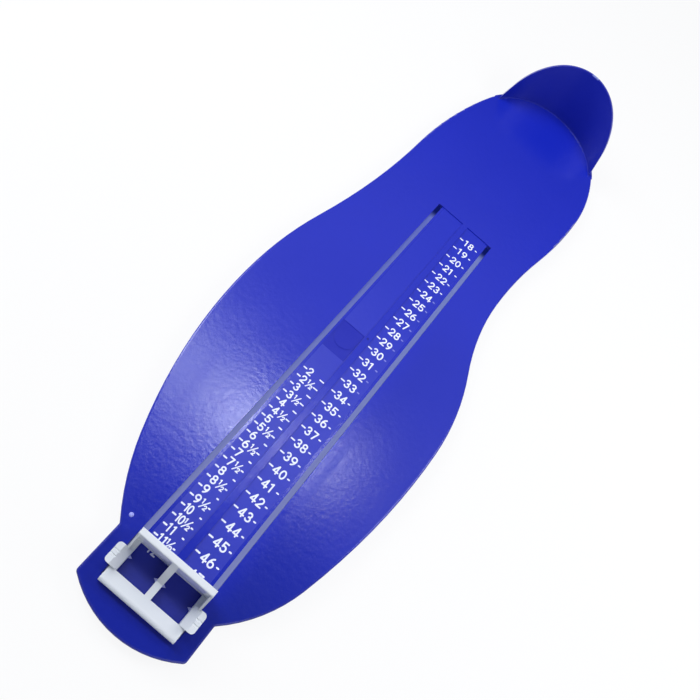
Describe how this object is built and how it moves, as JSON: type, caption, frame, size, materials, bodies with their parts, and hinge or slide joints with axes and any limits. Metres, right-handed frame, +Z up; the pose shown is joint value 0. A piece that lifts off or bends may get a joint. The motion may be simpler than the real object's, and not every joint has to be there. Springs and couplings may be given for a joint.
{
  "type": "foot measuring device",
  "caption": "Foot length gauge: foot-shaped plate with a raised heel cup and printed size scales, and a sliding toe stop with reading windows.",
  "frame": {"origin": "middle of the gauge's base, on the table it lies on", "axes": "+Y along the gauge from the toe end to the heel cup, +X to the right as seen from the toe end, +Z up from the table"},
  "size_m": [0.1112, 0.342, 0.0386],
  "materials": {
    "blue_plastic": "satin",
    "white_plastic": "satin"
  },
  "bodies": {
    "plate": {"foot_plate": "blue_plastic"},
    "slider": {"slider_frame": "white_plastic", "slider_keeper": "white_plastic"}
  },
  "joints": [
    {"name": "toe_slide", "type": "slide", "parent": "plate", "child": "slider", "axis": [0, 1, 0], "range_m": [0, 0.2018]}
  ]
}
